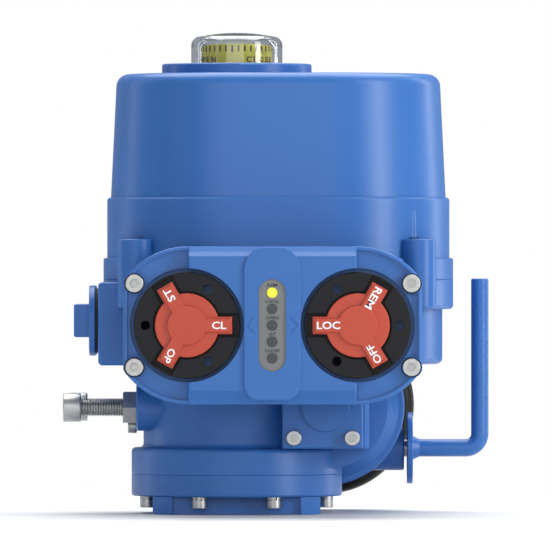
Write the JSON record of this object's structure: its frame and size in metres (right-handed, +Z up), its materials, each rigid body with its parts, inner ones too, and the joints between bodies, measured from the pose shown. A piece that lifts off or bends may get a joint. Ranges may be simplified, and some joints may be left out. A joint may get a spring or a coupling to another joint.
{
  "type": "motorized valve actuator",
  "caption": "Electric quarter-turn valve actuator with flanged base, position dome, selector knobs, declutch lever, handwheel and travel stops.",
  "frame": {"origin": "centre of the valve flange face, on the output axis", "axes": "+Z up along the output axis, -Y towards the control unit, +X towards the declutch lever"},
  "size_m": [0.2406, 0.2456, 0.271],
  "materials": {
    "blue_paint": "smooth satin blue powder coat on aluminium castings",
    "black_moulding": "satin black",
    "red_moulding": "satin red",
    "yellow_scale": "yellow with black scale marks",
    "clear_dome": "clear moulded dome",
    "stainless": "bright stainless steel",
    "steel": "machined steel",
    "bronze": "machined bronze",
    "rubber_seal": "black seal rubber",
    "grey_window": "metallic grey window",
    "green_light": "lit yellow-green lens",
    "dark_light": "unlit dark lens",
    "board_green": "printed circuit board",
    "motor_can": "black motor can",
    "grey_plastic": "moulded plastic",
    "cast_aluminium": "cast aluminium"
  },
  "bodies": {
    "housing": {"base_plate": "blue_paint", "base_ring": "rubber_seal", "base_screws": "stainless", "cable_plugs": "blue_paint", "capacitor": "grey_plastic", "control_board": "board_green", "control_box_body": "blue_paint", "control_box_cover": "blue_paint", "control_gasket": "rubber_seal", "control_screws": "stainless", "dome_clamp_ring": "cast_aluminium", "dome_clamp_screws": "stainless", "dome_gasket": "rubber_seal", "drum_cover": "blue_paint", "drum_cover_screws": "stainless", "earth_screw": "stainless", "gear_housing": "blue_paint", "gear_plate": "cast_aluminium", "indicator_board": "board_green", "indicator_dome": "clear_dome", "indicator_window": "grey_window", "limit_switches": "grey_plastic", "motor_body": "motor_can", "output_bushes": "bronze", "plug_seals": "rubber_seal", "ready_light": "green_light", "space_heater": "cast_aluminium", "status_lights": "dark_light", "stop_nuts": "stainless", "switch_bracket": "steel", "terminal_block": "grey_plastic", "top_cover": "blue_paint", "top_cover_ring": "rubber_seal", "top_cover_screws": "stainless", "worm_bearings": "steel", "worm_cap_screws": "stainless", "worm_end_cap": "blue_paint"},
    "output": {"worm_wheel": "bronze", "output_hub": "steel", "drive_bushing": "steel", "indicator_shaft": "steel", "switch_cams": "grey_plastic", "position_drum": "yellow_scale"},
    "worm": {"worm_shaft": "steel", "first_wheel": "steel"},
    "rotor": {"motor_shaft": "steel"},
    "clutch": {"clutch_sleeve": "steel"},
    "lever": {"declutch_lever": "blue_paint", "lever_shaft": "steel", "clutch_fork": "steel", "lever_spring": "steel"},
    "handwheel": {"handwheel": "black_moulding", "handwheel_shaft": "steel", "handwheel_nut": "stainless"},
    "left_knob": {"left_knob_disc": "black_moulding", "left_knob_handle": "red_moulding"},
    "right_knob": {"right_knob_disc": "black_moulding", "right_knob_handle": "red_moulding"},
    "front_stop": {"stop_screw_front": "stainless"},
    "back_stop": {"stop_screw_back": "stainless"}
  },
  "joints": [
    {"name": "output_turn", "type": "hinge", "parent": "housing", "child": "output", "pos_m": [0, 0, 0.06], "axis": [0, 0, 1], "range_deg": [0, 90]},
    {"name": "worm_spin", "type": "hinge", "parent": "housing", "child": "worm", "pos_m": [0.05, 0, 0.06], "axis": [0, 1, 0], "range_deg": [-3240, 0]},
    {"name": "rotor_spin", "type": "hinge", "parent": "housing", "child": "rotor", "pos_m": [0.074, 0.029, 0.06], "axis": [0, 0, 1], "range_deg": [-77760, 0]},
    {"name": "lever_pull", "type": "hinge", "parent": "housing", "child": "lever", "pos_m": [0.05, 0.038, 0.036], "axis": [-1, 0, 0], "range_deg": [0, 25]},
    {"name": "clutch_slide", "type": "slide", "parent": "worm", "child": "clutch", "axis": [0, 1, 0], "range_m": [0, 0.0051]},
    {"name": "handwheel_turn", "type": "hinge", "parent": "housing", "child": "handwheel", "pos_m": [0.05, 0.088, 0.06], "axis": [0, 1, 0], "continuous": true},
    {"name": "left_knob_turn", "type": "hinge", "parent": "housing", "child": "left_knob", "pos_m": [-0.0271, -0.12, 0.1064], "axis": [0, 1, 0], "range_deg": [0, 240]},
    {"name": "right_knob_turn", "type": "hinge", "parent": "housing", "child": "right_knob", "pos_m": [0.0673, -0.12, 0.1064], "axis": [0, 1, 0], "range_deg": [0, 240]},
    {"name": "front_stop_travel", "type": "slide", "parent": "housing", "child": "front_stop", "axis": [-1, 0, 0], "range_m": [0, 0.004]},
    {"name": "back_stop_travel", "type": "slide", "parent": "housing", "child": "back_stop", "axis": [-1, 0, 0], "range_m": [0, 0.004]}
  ],
  "couplings": [
    {"joint": "worm_spin", "follows": "output_turn", "ratio": -36},
    {"joint": "rotor_spin", "follows": "output_turn", "ratio": -864},
    {"joint": "clutch_slide", "follows": "lever_pull", "m_per_rad": 0.0115}
  ]
}
